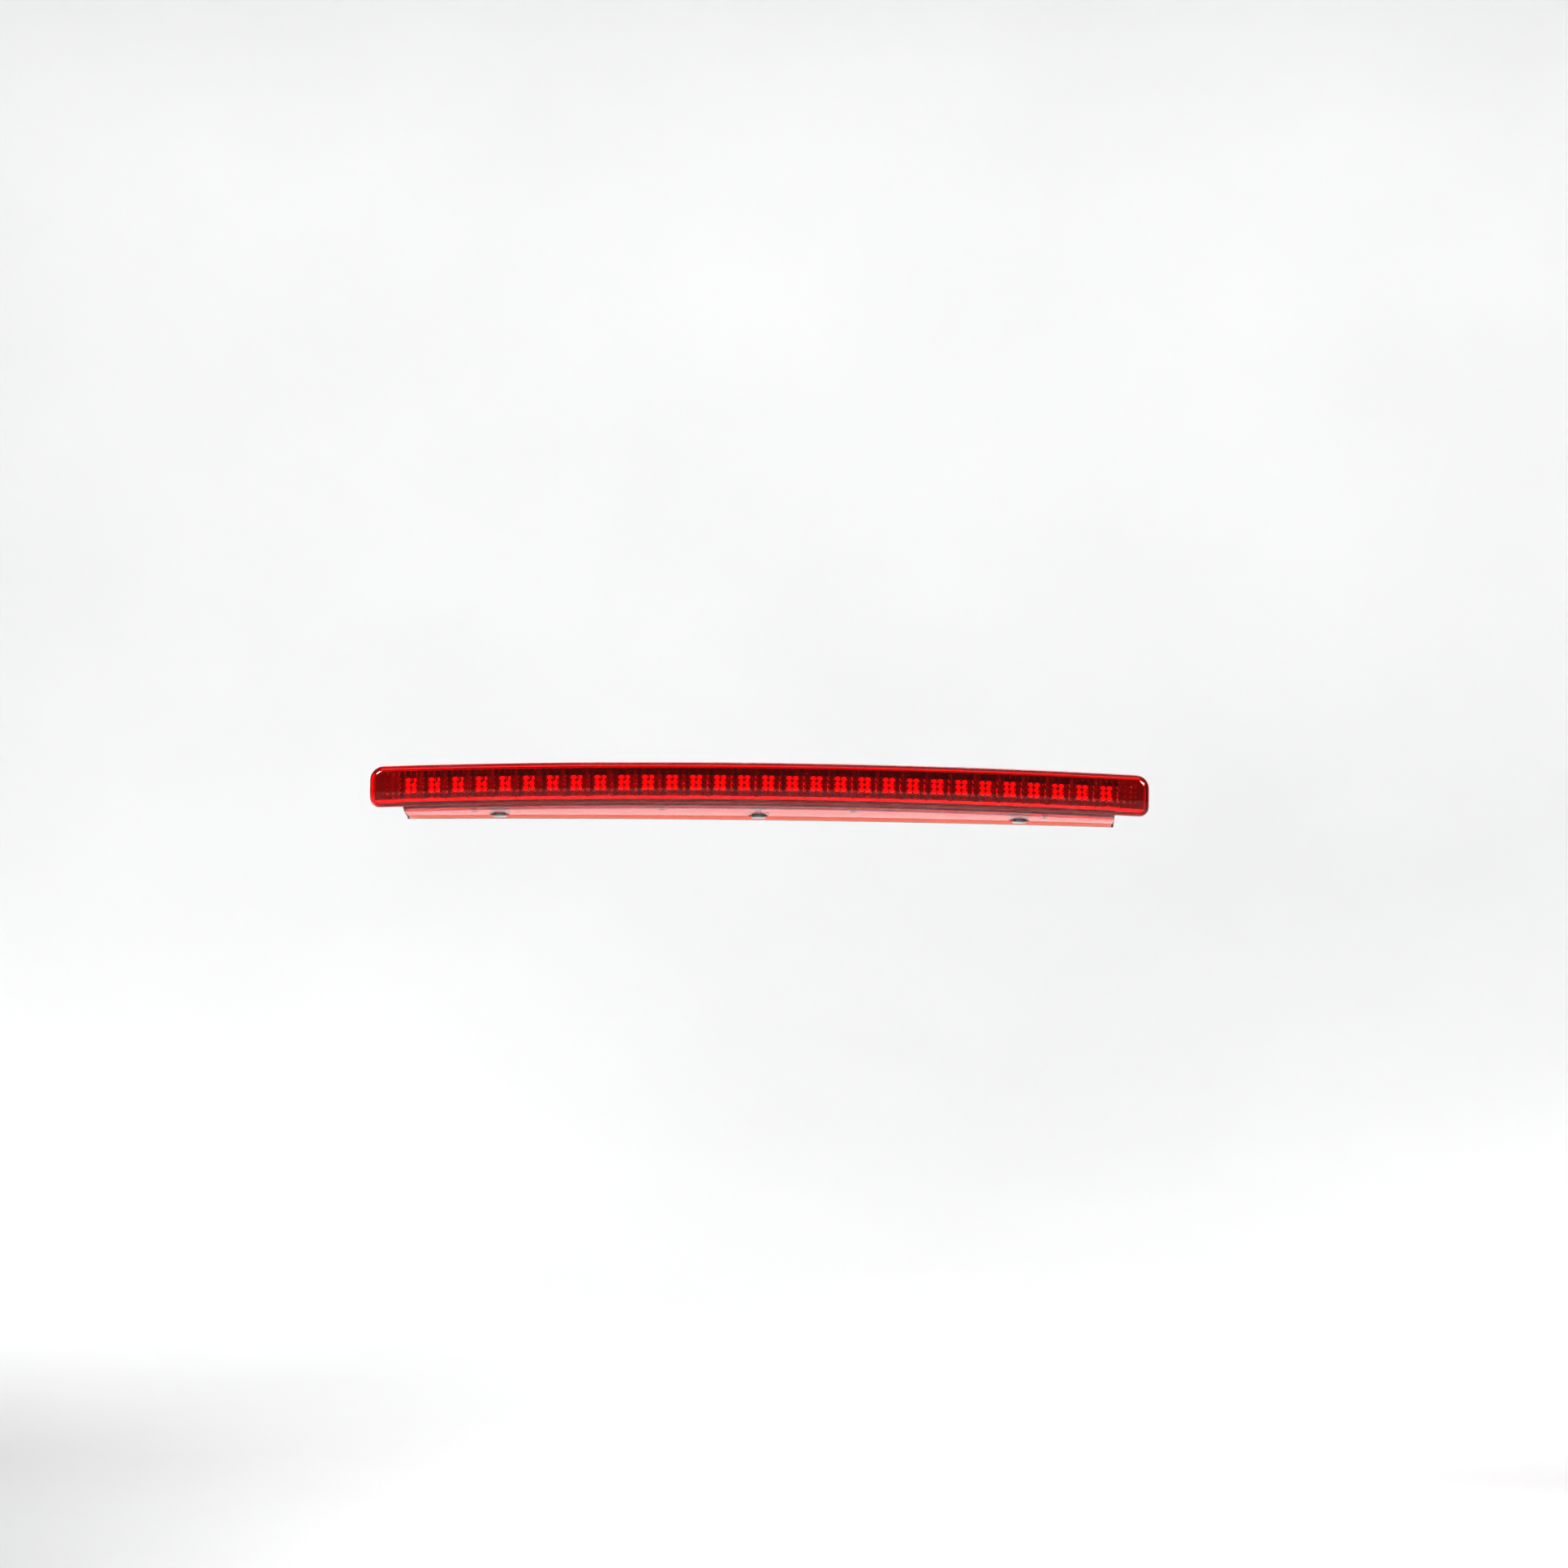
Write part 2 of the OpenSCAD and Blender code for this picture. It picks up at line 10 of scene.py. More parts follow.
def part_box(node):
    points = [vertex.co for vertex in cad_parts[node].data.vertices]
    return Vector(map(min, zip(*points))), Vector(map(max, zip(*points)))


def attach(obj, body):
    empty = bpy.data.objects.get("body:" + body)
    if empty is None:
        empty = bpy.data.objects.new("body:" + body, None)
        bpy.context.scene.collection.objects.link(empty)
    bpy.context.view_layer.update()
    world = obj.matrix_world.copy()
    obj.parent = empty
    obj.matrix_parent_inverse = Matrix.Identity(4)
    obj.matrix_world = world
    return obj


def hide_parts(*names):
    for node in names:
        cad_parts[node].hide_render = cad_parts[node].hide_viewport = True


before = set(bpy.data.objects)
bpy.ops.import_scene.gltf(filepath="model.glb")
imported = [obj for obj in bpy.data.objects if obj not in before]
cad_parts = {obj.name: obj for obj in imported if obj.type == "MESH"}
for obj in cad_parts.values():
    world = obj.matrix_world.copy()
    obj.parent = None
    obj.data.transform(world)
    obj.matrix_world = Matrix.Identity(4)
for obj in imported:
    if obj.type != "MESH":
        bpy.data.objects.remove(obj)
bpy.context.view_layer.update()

BOW_R = 1650.0
BOW_LEAN = math.radians(20)
LENS_LOW, LENS_HIGH = (corner * 1000 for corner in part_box("lens"))
SCREW_BACK = -LENS_LOW.y
SEAT_UP = 7.0
BOARD_D = 10.5
LED_PITCH = 12.7
LED_S = [(i + 0.5) * LED_PITCH for i in range(-15, 15)]
MID_H = 19.9
LED_BACK = 9.8
LEG_AT = 2.54


def station(s, d, h):
    """Places a small piece at arc length s along the bow, at depth d and height h of the cross section."""
    turn = Matrix.Rotation(s / (BOW_R - BOARD_D), 4, "Z")
    tip = Matrix.Rotation(BOW_LEAN, 4, "X")
    out = Matrix.Translation((0, BOW_R, 0))
    return (Matrix.Translation((0, -SCREW_BACK, -SEAT_UP)) @ tip.inverted() @ out @ turn @ out.inverted()
            @ tip @ Matrix.Translation((0, d, h)))


def rounded(w, h, r, n=32):
    """A loop of n points round a rectangle with round corners, which is a circle when r is half its side."""
    points = []
    for k in range(n):
        a = 2 * math.pi * (k + 0.5) / n
        cx = math.copysign(w / 2 - r, math.cos(a))
        cz = math.copysign(h / 2 - r, math.sin(a))
        points.append((cx + r * math.cos(a), cz + r * math.sin(a)))
    return points


def loft(levels, cap=(True, True)):
    """Joins loops of equal length into a skin. A level is (depth, loop); depth runs along +Y."""
    n = len(levels[0][1])
    verts = [(x, y, z) for y, loop in levels for x, z in loop]
    faces = []
    for i in range(len(levels) - 1):
        for k in range(n):
            a, b = i * n + k, i * n + (k + 1) % n
            faces.append((a, b, b + n, a + n))
    if cap[0]:
        faces.append(tuple(range(n)))
    if cap[1]:
        faces.append(tuple(range((len(levels) - 1) * n, len(levels) * n)))
    return verts, faces


def join(shapes):
    """Puts several (verts, faces) shapes into one."""
    verts, faces = [], []
    for v, f in shapes:
        base = len(verts)
        verts.extend(v)
        faces.extend(tuple(i + base for i in face) for face in f)
    return verts, faces


def moved(shape, matrix):
    """The same shape somewhere else."""
    flat = np.array(shape[0], float)
    turned = flat @ np.array(matrix.to_3x3()).T + np.array(matrix.translation)
    return [tuple(p) for p in turned], shape[1]


def piece(name, shape, finish, replaced, crease=32):
    """Turns a shape in millimetres into an object that rides on the lamp and stands for CAD nodes."""
    mesh = bpy.data.meshes.new(name)
    mesh.from_pydata([(x / 1000, y / 1000, z / 1000) for x, y, z in shape[0]], [], shape[1])
    bm = bmesh.new()
    bm.from_mesh(mesh)
    bmesh.ops.remove_doubles(bm, verts=bm.verts, dist=2e-6)
    bmesh.ops.recalc_face_normals(bm, faces=bm.faces)
    bm.to_mesh(mesh)
    bm.free()
    mesh.shade_smooth()
    mesh.set_sharp_from_angle(angle=math.radians(crease))
    mesh.materials.append(finish)
    ob = bpy.data.objects.new(name, mesh)
    bpy.context.scene.collection.objects.link(ob)
    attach(ob, "root")
    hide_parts(*replaced)
    return ob


def colour(code):
    """Turns an sRGB hex value into the linear colour that a socket takes."""
    parts = [int(code[i:i + 2], 16) / 255 for i in (0, 2, 4)]
    return tuple(c / 12.92 if c <= 0.04045 else ((c + 0.055) / 1.055) ** 2.4 for c in parts) + (1.0,)


def add(tree, kind, sockets=(), **settings):
    """Adds one node with its settings, and sets or links its sockets."""
    made = tree.nodes.new("ShaderNode" + kind)
    for key, value in settings.items():
        setattr(made, key, value)
    for key, value in dict(sockets).items():
        if isinstance(value, bpy.types.NodeSocket):
            tree.links.new(value, made.inputs[key])
        else:
            made.inputs[key].default_value = value
    return made


def surface(name, light, dark, rough, grain, relief, streak=(1, 1, 1), patch=12.0, **sockets):
    """A solid finish: its colour drifts from light to dark over patches, its grain of so many millimetres
    roughens it from rough[0] to rough[1], and stands up by relief millimetres. Most real grains are finer
    than the eye can make out, so they are drawn coarser, to show."""
    finish = bpy.data.materials.new(name)
    finish.use_nodes = True
    tree = finish.node_tree
    tree.nodes.clear()
    place = add(tree, "TexCoord").outputs["Object"]
    along = add(tree, "Mapping", {"Vector": place, "Scale": streak}).outputs[0]
    drift = add(tree, "TexNoise", {"Vector": place, "Scale": 1000 / patch, "Detail": 3.0}).outputs["Fac"]
    fine = add(tree, "TexNoise", {"Vector": along, "Scale": 1000 / grain, "Detail": 4.0}).outputs["Fac"]
    tint = add(tree, "ValToRGB", {"Fac": drift})
    tint.color_ramp.elements[0].position = 0.3
    tint.color_ramp.elements[1].position = 0.7
    tint.color_ramp.elements[0].color = colour(dark)
    tint.color_ramp.elements[1].color = colour(light)
    dull = add(tree, "MapRange", {"Value": fine, "From Min": 0.3, "From Max": 0.7,
                                  "To Min": rough[0], "To Max": rough[1]}).outputs[0]
    raised = add(tree, "Bump", {"Height": fine, "Strength": 0.6, "Distance": relief / 1000}).outputs[0]
    shader = add(tree, "BsdfPrincipled", {"Base Color": tint.outputs[0], "Roughness": dull, "Normal": raised,
                                          **sockets})
    add(tree, "OutputMaterial", {"Surface": shader.outputs[0]})
    return finish


def bar(w, d, h, r):
    """A bar, w by d by h about its middle, with its edges tumbled to radius r."""
    soft = [(-d / 2, w - 2 * r, h - 2 * r), (-d / 2 + 0.3 * r, w - 0.6 * r, h - 0.6 * r), (-d / 2 + r, w, h)]
    ends = soft + [(-y, a, b) for y, a, b in reversed(soft)]
    return loft([(y, rounded(a, b, min(r, a / 2, b / 2), 12)) for y, a, b in ends])


FRAME_T = 0.5
frame_mid = LED_BACK - FRAME_T / 2
cup = loft([(LED_BACK - 0.45, rounded(1.3, 1.3, 0.65)), (LED_BACK - 0.5, rounded(1.5, 1.5, 0.75)),
            (LED_BACK - 1.15, rounded(2.6, 2.6, 1.3)), (LED_BACK - 1.2, rounded(3.0, 3.0, 1.5)),
            (LED_BACK - 1.1, rounded(3.2, 3.2, 1.6)), (LED_BACK - 0.4, rounded(3.4, 3.4, 1.7))])
stamped = join([
    moved(bar(4.9, FRAME_T, 6.4, 0.12), Matrix.Translation((-0.75, frame_mid, 0))),
    moved(bar(1.1, FRAME_T, 6.4, 0.12), Matrix.Translation((2.65, frame_mid, 0))),
    cup,
] + [moved(bar(0.5, 3.75, 0.4, 0.06), Matrix.Translation((x, frame_mid + 1.875, z)))
     for x in (-LEG_AT, LEG_AT) for z in (-LEG_AT, LEG_AT)])
# Silver plate is the whitest metal, satin here from the rolled strip, with a faint warm tarnish.
silver_plate = surface("silver_plate", "F4F1EA", "DCD3C4", (0.5, 0.72), 0.25, 0.003, (1, 1, 6), 2.0,
                       Metallic=1.0)
piece("led_lead_frames", join([moved(stamped, station(s, 0, MID_H)) for s in LED_S]), silver_plate,
      ["led_frames"])

# ---------------------------------------------------------------- LED chips
# One die of aluminium gallium arsenide to each LED, sawn from a wafer and bonded in the cup with silver
# paste. It keeps its CAD shape.
def dress(node, finish, edge=0.0):
    """Gives a CAD node its finish, and breaks its edges by so many millimetres."""
    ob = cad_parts[node]
    ob.data.materials.clear()
    ob.data.materials.append(finish)
    if edge:
        weld = ob.modifiers.new("weld", "WELD")
        weld.merge_threshold = 5e-6
        soft = ob.modifiers.new("edge", "BEVEL")
        soft.width = edge / 1000
        soft.segments = 2
        soft.limit_method = "ANGLE"
        soft.angle_limit = math.radians(40)
        soft.use_clamp_overlap = True
        soft.harden_normals = False


# A sawn wafer is a dark mirror, near black with a bronze cast.
wafer = surface("gallium_arsenide_wafer", "6B5140", "3B2C26", (0.12, 0.25), 0.05, 0.002, Metallic=1.0)
dress("led_chips", wafer)

# ---------------------------------------------------------------- LED bodies
# Each LED is cast in clear epoxy round its lead frame: a square block with one corner cut to mark the
# cathode, and a dome in front that gathers the light.
BODY_W = 7.6
BODY_T = 3.0
CORNER_CUT = 1.1
DOME_D = 4.6
DOME_H = 1.5
dome_r = (DOME_D ** 2 / 4 + DOME_H ** 2) / (2 * DOME_H)


def clear(name, tint, grain, density, ior, rough, ripple, relief):
    """A clear plastic: it bends light by ior, and what lies behind it is lit straight through it. Its depth
    takes the colour tint, faster with more density per millimetre. A haze of so many millimetres' grain
    roughens it from rough[0] to rough[1], and ripples stand up by relief millimetres."""
    finish = bpy.data.materials.new(name)
    finish.use_nodes = True
    tree = finish.node_tree
    tree.nodes.clear()
    place = add(tree, "TexCoord").outputs["Object"]
    flow = add(tree, "TexNoise", {"Vector": place, "Scale": 1000 / ripple, "Detail": 2.0}).outputs["Fac"]
    haze = add(tree, "TexNoise", {"Vector": place, "Scale": 1000 / grain, "Detail": 3.0}).outputs["Fac"]
    dull = add(tree, "MapRange", {"Value": haze, "From Min": 0.35, "From Max": 0.75,
                                  "To Min": rough[0], "To Max": rough[1]}).outputs[0]
    wave = add(tree, "Bump", {"Height": flow, "Strength": 0.5, "Distance": relief / 1000}).outputs[0]
    shader = add(tree, "BsdfPrincipled", {"Base Color": colour("FFFFFF"), "Roughness": dull, "Normal": wave,
                                          "IOR": ior, "Transmission Weight": 1.0})
    lets_in = add(tree, "BsdfTransparent", {"Color": colour("FFFFFF")})
    rays = add(tree, "LightPath").outputs
    inside = add(tree, "MixShader", {0: rays["Is Diffuse Ray"], 1: shader.outputs[0], 2: lets_in.outputs[0]})
    both = add(tree, "MixShader", {0: rays["Is Shadow Ray"], 1: inside.outputs[0], 2: lets_in.outputs[0]})
    depth = add(tree, "VolumeAbsorption", {"Color": colour(tint), "Density": density * 1000})
    add(tree, "OutputMaterial", {"Surface": both.outputs[0], "Volume": depth.outputs[0]})
    return finish


def cut_corner(points, cut):
    """Takes the corner off a loop where x + z is past cut."""
    out = []
    for x, z in points:
        past = max(0.0, (x + z) - cut)
        out.append((x - past / 2, z - past / 2))
    return out


block = [(LED_BACK, 0.35), (LED_BACK - 0.1, 0.12), (LED_BACK - 0.35, 0.0), (LED_BACK - BODY_T + 0.3, 0.1),
         (LED_BACK - BODY_T + 0.08, 0.2), (LED_BACK - BODY_T, 0.4)]
levels = [(y, cut_corner(rounded(BODY_W - 2 * g, BODY_W - 2 * g, 0.5), BODY_W - CORNER_CUT - g))
          for y, g in block]
for k in range(9):
    a = math.asin(DOME_D / 2 / dome_r) * (1 - k / 8.5)
    rise = dome_r * math.cos(a) - dome_r + DOME_H
    levels.append((LED_BACK - BODY_T - rise, rounded(*[2 * dome_r * math.sin(a)] * 2, dome_r * math.sin(a))))
# Epoxy is a little more refractive than acrylic, with a glossy cast skin; a red dye tints it lightly.
red_epoxy = clear("red_cast_epoxy", "FFC9B4", 1.5, 0.12, 1.54, (0.01, 0.06), 3.0, 0.01)
piece("led_domes", join([moved(loft(levels), station(s, 0, MID_H)) for s in LED_S]), red_epoxy,
      ["led_bodies"], 40)

# ---------------------------------------------------------------- circuit board
# One strip of glass-epoxy board carries all thirty LEDs, and is bowed into the housing over pegs. It is
# etched, drilled, and coated with green solder mask on both sides. It keeps its CAD shape.
# The mask is a smooth lacquer, with a soft gloss and a slightly uneven green.
solder_mask = surface("green_solder_mask", "1F6B3A", "14512B", (0.22, 0.36), 0.6, 0.02, patch=9.0)
tree = solder_mask.node_tree
shader = next(n for n in tree.nodes if n.type == "BSDF_PRINCIPLED")
place = add(tree, "TexCoord").outputs["Object"]
# Tracks stand under the mask, which is paler over copper. A wave texture repeats every 2 pi / 20 units.
TRACK_PITCH = 12.7
COPPER_T = 0.035
tracks = add(tree, "TexWave", {"Vector": place, "Scale": 1000 * math.pi / 10 / TRACK_PITCH},
             bands_direction="Z").outputs["Fac"]
edge = add(tree, "ValToRGB", {"Fac": tracks})
edge.color_ramp.elements[0].position = 0.62
edge.color_ramp.elements[1].position = 0.66
mask = add(tree, "Mix", {"Factor": edge.outputs[0], 6: shader.inputs["Base Color"].links[0].from_socket,
                         7: colour("3A8A4E")}, data_type="RGBA")
tree.links.new(mask.outputs[2], shader.inputs["Base Color"])
lift = add(tree, "Bump", {"Height": edge.outputs[0], "Strength": 1.0, "Distance": COPPER_T / 1000,
                          "Normal": shader.inputs["Normal"].links[0].from_socket})
tree.links.new(lift.outputs[0], shader.inputs["Normal"])
dress("circuit_board", solder_mask)

# ---------------------------------------------------------------- solder joints
# Tin-silver solder, drawn up each leg by a wave of molten metal. They keep their CAD shape.
# Lead-free solder cools to a bright but slightly frosted skin.
solder = surface("tin_silver_solder", "D9DADC", "B4B6BA", (0.2, 0.42), 0.15, 0.01, Metallic=1.0)
dress("solder_joints", solder)

# ---------------------------------------------------------------- resistors and their wires
# Ten carbon-film resistors, one to each string of three LEDs: a dipped ceramic rod on tinned wire, bent
# down through the board. They keep their CAD shape.
# Dipped lacquer is a warm tan with a soft sheen.
lacquer = surface("tan_dipped_lacquer", "D8B98A", "C3A070", (0.25, 0.45), 0.5, 0.02)
dress("resistors", lacquer, 0.3)
# Hot-dipped tin is pale and bright, with soft lines along the drawn wire.
tinned_wire = surface("tinned_copper_wire", "D4D2CC", "B0AEA8", (0.22, 0.4), 0.2, 0.005, (6, 1, 1),
                      Metallic=1.0)
dress("resistor_leads", tinned_wire)

# ---------------------------------------------------------------- diode
# One rectifier diode guards the board against a reversed supply: a moulded black epoxy barrel on the
# same tinned wire. It keeps its CAD shape.
# Epoxy pressed in a mould is nearly black, with a satin skin.
barrel = surface("black_moulded_epoxy", "26272A", "17181A", (0.35, 0.55), 0.3, 0.02)
dress("diode", barrel, 0.25)
dress("diode_leads", tinned_wire)

# ---------------------------------------------------------------- reflector
# A moulded grid that stands in front of the board, with one open cell to each LED. It is staked to the
# board by its own pegs. It keeps its CAD shape.
# Grey-brown ABS with a low sheen, which catches light along each cell's walls.
cell_abs = surface("grey_brown_moulded_abs", "8A6E6B", "765C5A", (0.3, 0.5), 0.4, 0.03)


def painted(finish, where, code):
    """Lays a second colour over a finish where a mask is 1."""
    tree = finish.node_tree
    shader = next(n for n in tree.nodes if n.type == "BSDF_PRINCIPLED")
    over = add(tree, "Mix", {"Factor": where, 6: shader.inputs["Base Color"].links[0].from_socket,
                             7: colour(code)}, data_type="RGBA")
    tree.links.new(over.outputs[2], shader.inputs["Base Color"])


# Its front faces are painted darker than its cell walls: painted shade that keeps the bars between the LEDs
# black behind the lens. Its lowest 1.3 mm is painted white: painted light that brightens the lens's bottom
# band.
GLOW_BAND_TOP = 13.1
tree = cell_abs.node_tree
facing = add(tree, "SeparateXYZ", {0: add(tree, "TexCoord").outputs["Normal"]}).outputs
# Painted shade: faces turned toward the lens take a dark colour.
painted(cell_abs, add(tree, "Math", {0: facing["Y"], 1: -0.6}, operation="LESS_THAN").outputs[0], "3E3231")
place = add(tree, "SeparateXYZ", {0: add(tree, "TexCoord").outputs["Object"]})
square = add(tree, "Math", {0: place.outputs["X"], 1: place.outputs["X"]}, operation="MULTIPLY").outputs[0]
drop_rate = math.sin(BOW_LEAN) / (2 * BOW_R / 1000)
drop = add(tree, "Math", {0: square, 1: drop_rate}, operation="MULTIPLY").outputs[0]
level = add(tree, "Math", {0: place.outputs["Z"], 1: drop}, operation="ADD").outputs[0]
painted_glow_band = add(tree, "Math", {0: level, 1: (GLOW_BAND_TOP - SEAT_UP) / 1000}, operation="LESS_THAN").outputs[0]
# Painted light: the lowest band is white, so the lens glows bright red along its bottom.
painted(cell_abs, painted_glow_band, "F2F2F0")
dress("reflector", cell_abs)

# ---------------------------------------------------------------- board screws
# Four small pan-head screws hold the board to bosses in the housing. Rolled steel, zinc plated.
# They keep their CAD shape.
# Zinc plate is a cool, bluish bright metal with a fine frosting.
zinc = surface("zinc_plated_steel", "CFD3D6", "A9AFB5", (0.2, 0.42), 0.3, 0.01, Metallic=1.0)
dress("board_screws", zinc, 0.12)

# ---------------------------------------------------------------- housing
# The tray behind the lamp: one moulding in black ABS, with a flange that the lens is bonded to, a boss
# for each board screw, a rivet stud for each clip, and a tube for the vent.
HALF_W = LENS_HIGH.x
LAMP_H = 30.8
CHAMBER_H = 9.0
RIM_D = 10.0
TOP_R = 7.0
LOW_R = 5.0


def on_bow(x, d, h):
    """A point of the cross section (d, h) carried to x along the bow."""
    y1 = d * math.cos(BOW_LEAN) - h * math.sin(BOW_LEAN)
    r = BOW_R - y1
    b = r - math.sqrt(r * r - x * x)
    return x, d + b * math.cos(BOW_LEAN) - SCREW_BACK, h - b * math.sin(BOW_LEAN) - SEAT_UP


def chains(inset, edge_n=120, corner_n=8):
    """The upper and lower halves of the lamp's outline, moved inward, each from its right end to its left."""
    half = []
    for side, level, r in ((1, LAMP_H - inset, TOP_R - inset), (-1, CHAMBER_H + inset, LOW_R - inset)):
        r = max(r, 0.2)
        cx, cz = HALF_W - inset - r, level - side * r
        bend = [(r * math.cos(a), side * r * math.sin(a)) for a in np.linspace(0, math.pi / 2, corner_n)]
        right = [(cx + x, cz + z) for x, z in bend]
        straight = [(x, level) for x in np.linspace(cx, -cx, edge_n)[1:-1]]
        half.append(right + straight + [(-x, z) for x, z in reversed(right)])
    return half


def tray(profile):
    """A shell that follows the outline through a list of (inset, depth), closed at both ends."""
    verts, faces = [], []
    for inset, depth in profile:
        upper, lower = chains(inset)
        n = len(upper)
        verts.extend(on_bow(x, depth, h) for x, h in upper + lower[::-1])
    ring = 2 * n
    for i in range(len(profile) - 1):
        for k in range(ring):
            a, b = i * ring + k, i * ring + (k + 1) % ring
            faces.append((a, b, b + ring, a + ring))
    for base in (0, (len(profile) - 1) * ring):
        for k in range(n - 1):
            faces.append((base + k, base + k + 1, base + ring - 2 - k, base + ring - 1 - k))
    return verts, faces


def turned(profile, n=32):
    """A turned shape that points forward, from a list of (depth, radius)."""
    return loft([(y, rounded(2 * r, 2 * r, r, n)) for y, r in profile])


shell = tray([(3.8, 15.3), (3.8, 10.1), (3.7, 10), (1.8, 10), (1.8, 10.9), (0.7, 10.9), (0.7, 10), (0.2, 10),
              (0.05, 10.06), (0, 10.2), (0, 12.2), (0.08, 12.42), (0.3, 12.5), (1.6, 12.5), (1.88, 12.6),
              (2, 12.9), (2.05, 16.4), (2.15, 16.8), (2.4, 17.05), (2.8, 17.1)])
boss = turned([(12.12, 1.2), (12.12, 2.3), (12.25, 2.5), (15.0, 2.6), (15.4, 3.2)])
rivet = turned([(16.9, 2.2), (17.2, 1.5), (17.95, 1.5), (17.96, 2.1), (18.1, 2.3), (18.5, 2.2), (18.85, 1.6),
                (18.96, 0.5)])
vent_tube = turned([(16.9, 3.6), (17.25, 3.1), (17.5, 3), (19.9, 3), (20.1, 2.85), (20.1, 1.6), (19.9, 1.5),
                    (16.9, 1.5)])
FIX_S = (50.8, 152.4)
CLIP_S = 76.2
SIDE_S = 25.4
# Black ABS with a fine spark-eroded texture, which breaks its shine into a soft sheen. All that faces forward
# or down is painted white: painted light that makes the edges and the underside of the acrylic glow red.
black_abs = surface("black_textured_abs", "2E2F32", "232427", (0.38, 0.58), 0.5, 0.04, patch=25.0)
tree = black_abs.node_tree
facing = add(tree, "SeparateXYZ", {0: add(tree, "TexCoord").outputs["Normal"]}).outputs
lowest = add(tree, "Math", {0: facing["Y"], 1: facing["Z"]}, operation="MINIMUM").outputs[0]
# Painted light: faces turned forward or down take a white colour.
painted_glow_mask = add(tree, "Math", {0: lowest, 1: -0.3}, operation="LESS_THAN").outputs[0]
painted(black_abs, painted_glow_mask, "E8E8E6")
piece("housing_tray", join(
    [shell]
    + [moved(boss, station(side * s, 0, MID_H)) for s in FIX_S for side in (-1, 1)]
    + [moved(rivet, station(side * CLIP_S, 0, MID_H)) for side in (-1, 1)]
    + [moved(vent_tube, station(-SIDE_S, 0, MID_H))]), black_abs, ["housing"])

# ---------------------------------------------------------------- vent
# A ribbed cap pressed over the vent tube, with a disc of breathable membrane under it that lets damp air
# out of the lamp. Both keep their CAD shape.
# Moulded polypropylene is waxy and a little greyer than ABS.
cap_plastic = surface("black_polypropylene", "35363A", "27282B", (0.42, 0.6), 0.4, 0.03)
dress("vent_cap", cap_plastic, 0.2)
# Stretched fluoropolymer film is chalk white and matt.
film = surface("white_fluoropolymer_film", "F1F1EC", "DEDED8", (0.7, 0.9), 0.1, 0.01)
dress("vent_membrane", film)

# ---------------------------------------------------------------- inlet socket
# The socket for the car's plug: glass-filled nylon with a latch ramp on top, pushed into the housing over
# a silicone seal. Two tin-plated brass blades run from the board into it. All keep their CAD shape.
# Glass fibre leaves the nylon dull, with streaks along its flow.
nylon = surface("grey_glass_filled_nylon", "4A4B50", "393A3E", (0.4, 0.6), 0.35, 0.03, (1, 4, 1))
dress("inlet_socket", nylon, 0.25)
# Thin tin over brass keeps a warm cast and the strip's lines.
blade_brass = surface("tin_plated_brass", "D8CDB0", "B9A987", (0.18, 0.35), 0.3, 0.005, (1, 5, 1),
                      Metallic=1.0)
dress("inlet_terminals", blade_brass, 0.12)
# Pressed silicone rubber is a matt, even orange.
silicone = surface("orange_silicone_rubber", "C9572B", "B24A22", (0.45, 0.65), 0.4, 0.02)
dress("inlet_seal", silicone, 0.15)

# ---------------------------------------------------------------- lens seal
# A bead of butyl sealant, laid in the flange's groove before the lens is pressed home. It keeps its CAD
# shape.
# Butyl is a tacky mid grey, lumpy from the nozzle.
butyl = surface("grey_butyl_sealant", "4C4C4E", "3A3A3C", (0.5, 0.75), 1.2, 0.05)
dress("lens_seal", butyl)

# ---------------------------------------------------------------- lens
# The whole rear of the lamp: one injection moulding in red acrylic. Behind its face is a field of
# pillows that spreads the LEDs' light; its skirt runs forward to the three screws.
WALL = 2.5
CROWN_R = 60.0
EDGE_R = 3.2
TURN_H = 18.0
UNDER_R = 12.25
SLOPE = math.radians(12)
TANGENT = math.radians(258)
SKIRT_HALF = 189.0
SKIRT_CORNER = 6.0
LAMP_D = 38.0
TURN_X = 200.0
PILLOW_W = LED_PITCH / 4
PILLOW_H = 2.54
PILLOW_R = 2.12
PILLOW_LOW = 13.8
SUNK = 0.1
SAMPLES = 6
PILLOWS = 126
ROWS = 5
LIP = 1.1
LIP_Y = 8
SKIRT_END = 9.6
SKIRT_SOFT = 0.25
RECESS_R = 5.2
RECESS_UP = 2.1
PAD_R = 5.7
SLEEVE_R = 3.225
BLOCK_HALF = 8
BLOCK_ROWS = 8
zone = PILLOWS * PILLOW_W / 2
tail = [(1 - k / 10) ** 1.8 for k in range(1, 11)]


def bow_shift(x):
    """How far forward and down the bow carries the lamp at x."""
    b = BOW_R - math.sqrt(BOW_R ** 2 - x * x)
    return b * math.cos(BOW_LEAN), b * math.sin(BOW_LEAN)


def span(x, inset):
    """The lowest and highest point of the outline at x."""
    out = []
    for side, level, r in ((-1, CHAMBER_H + inset, LOW_R - inset), (1, LAMP_H - inset, TOP_R - inset)):
        past = max(0.0, abs(x) - (HALF_W - inset - r))
        out.append(level - side * (r - math.sqrt(max(0.0, r * r - past * past))))
    return out


